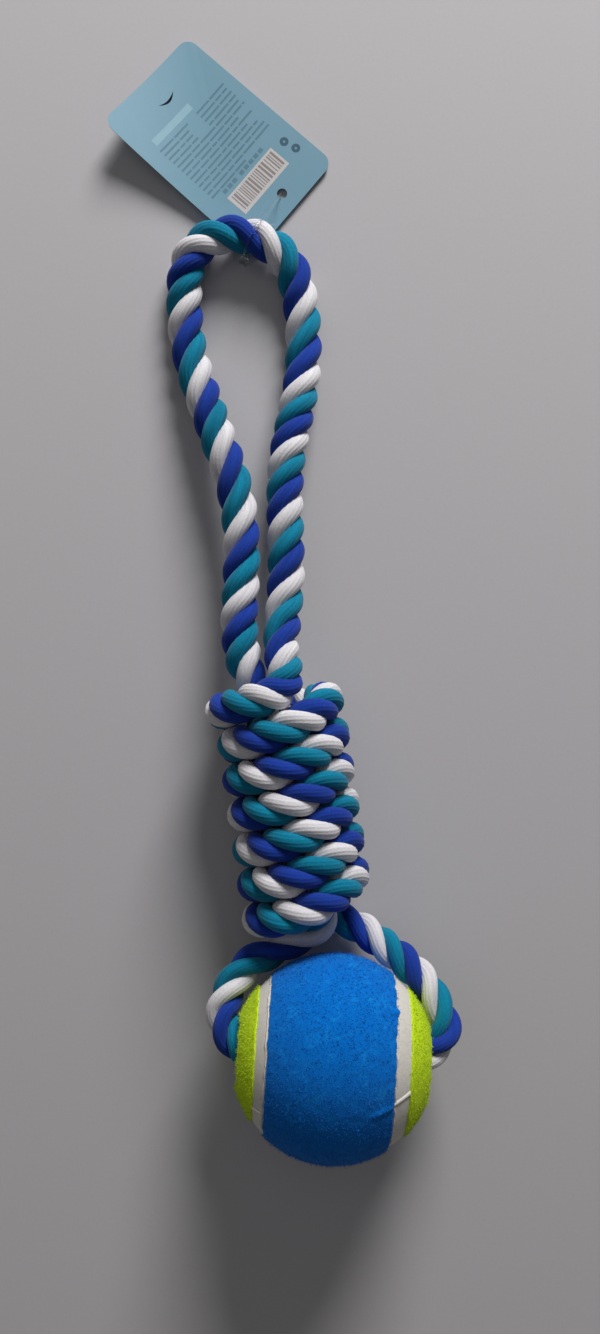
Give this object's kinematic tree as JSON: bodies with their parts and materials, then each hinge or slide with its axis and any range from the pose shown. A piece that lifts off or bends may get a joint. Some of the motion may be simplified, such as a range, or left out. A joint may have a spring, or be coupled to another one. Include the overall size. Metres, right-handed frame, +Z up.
{
  "type": "rope dog toy",
  "caption": "Three-strand rope tug toy with a hand loop, a wound rope grip, a felt-covered ball on a lower loop and a card hang tag.",
  "frame": {"origin": "middle of the flat under the grip's middle turn, where the toy rests on the table", "axes": "+Z up from the table, +Y along the grip towards the hand loop, +X to the right as seen from above with the hand loop away"},
  "size_m": [0.0854, 0.3654, 0.0631],
  "materials": {
    "rope_white": "matt spun yarn",
    "rope_teal": "matt spun yarn",
    "rope_blue": "matt spun yarn",
    "felt_blue": "fuzzy felt",
    "felt_lime": "fuzzy felt",
    "ball_rubber": "matt moulded rubber",
    "end_tape": "matt cloth tape",
    "tag_card": "smooth coated card",
    "clear_plastic": "clear, glossy"
  },
  "bodies": {
    "rope": {"handle_loop": "rope_white", "inner_rope_upper": "rope_white", "grip_winding": "rope_teal", "lower_loop_right": "rope_blue", "rope_through_ball": "rope_blue", "lower_loop_left": "rope_blue", "inner_rope_lower": "rope_teal", "end_tape_upper": "end_tape", "end_tape_lower": "end_tape"},
    "ball": {"felt_band": "felt_blue", "felt_cap_left": "felt_lime", "felt_cap_right": "felt_lime", "rubber_half_inner": "ball_rubber", "rubber_half_outer": "ball_rubber"},
    "tag_fastener": {"fastener_loop": "clear_plastic", "fastener_lock": "clear_plastic"},
    "tag": {"tag_card": "tag_card"}
  },
  "joints": [
    {"name": "ball_spin", "type": "hinge", "parent": "rope", "child": "ball", "pos_m": [0.0061, -0.074, 0.0315], "axis": [0.9877, -0.1564, 0], "continuous": true},
    {"name": "tag_swing", "type": "hinge", "parent": "rope", "child": "tag_fastener", "pos_m": [0.0064, 0.1901, 0.0081], "axis": [0.8305, -0.5571, 0], "range_deg": [0, 150]},
    {"name": "tag_turn", "type": "hinge", "parent": "tag_fastener", "child": "tag", "pos_m": [0.0172, 0.2062, 0.0012], "axis": [0, 0, 1], "range_deg": [-12, 0]}
  ]
}
